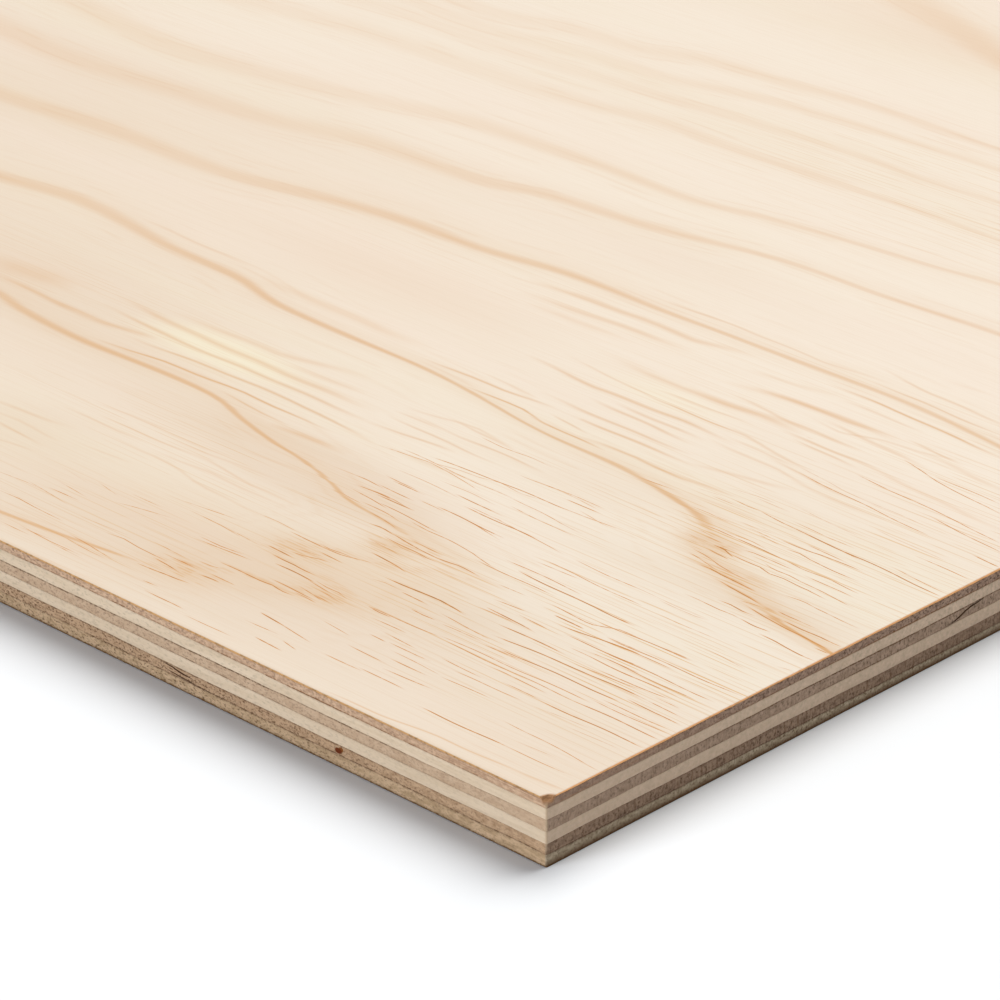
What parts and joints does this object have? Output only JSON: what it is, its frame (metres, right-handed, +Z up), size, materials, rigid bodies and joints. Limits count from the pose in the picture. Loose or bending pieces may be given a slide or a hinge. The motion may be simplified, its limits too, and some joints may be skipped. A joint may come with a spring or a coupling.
{
  "type": "plywood sheet",
  "caption": "Flat rectangular sheet of pine plywood, its plies showing on the sawn edges, with eased arrises and a bruised corner.",
  "frame": {"origin": "middle of the sheet's underside", "axes": "+X along the face grain and the long side, +Y across the sheet, +Z up through the plies to the face"},
  "size_m": [2.44, 1.22, 0.018],
  "materials": {
    "face_pine": "matte",
    "long_ply": "matte",
    "cross_ply": "matte",
    "back_pine": "matte"
  },
  "bodies": {
    "root": {"back_veneer": "back_pine", "lower_crossband": "cross_ply", "lower_core_ply": "long_ply", "centre_ply": "cross_ply", "upper_core_ply": "long_ply", "upper_crossband": "cross_ply", "face_veneer": "face_pine"}
  },
  "joints": []
}
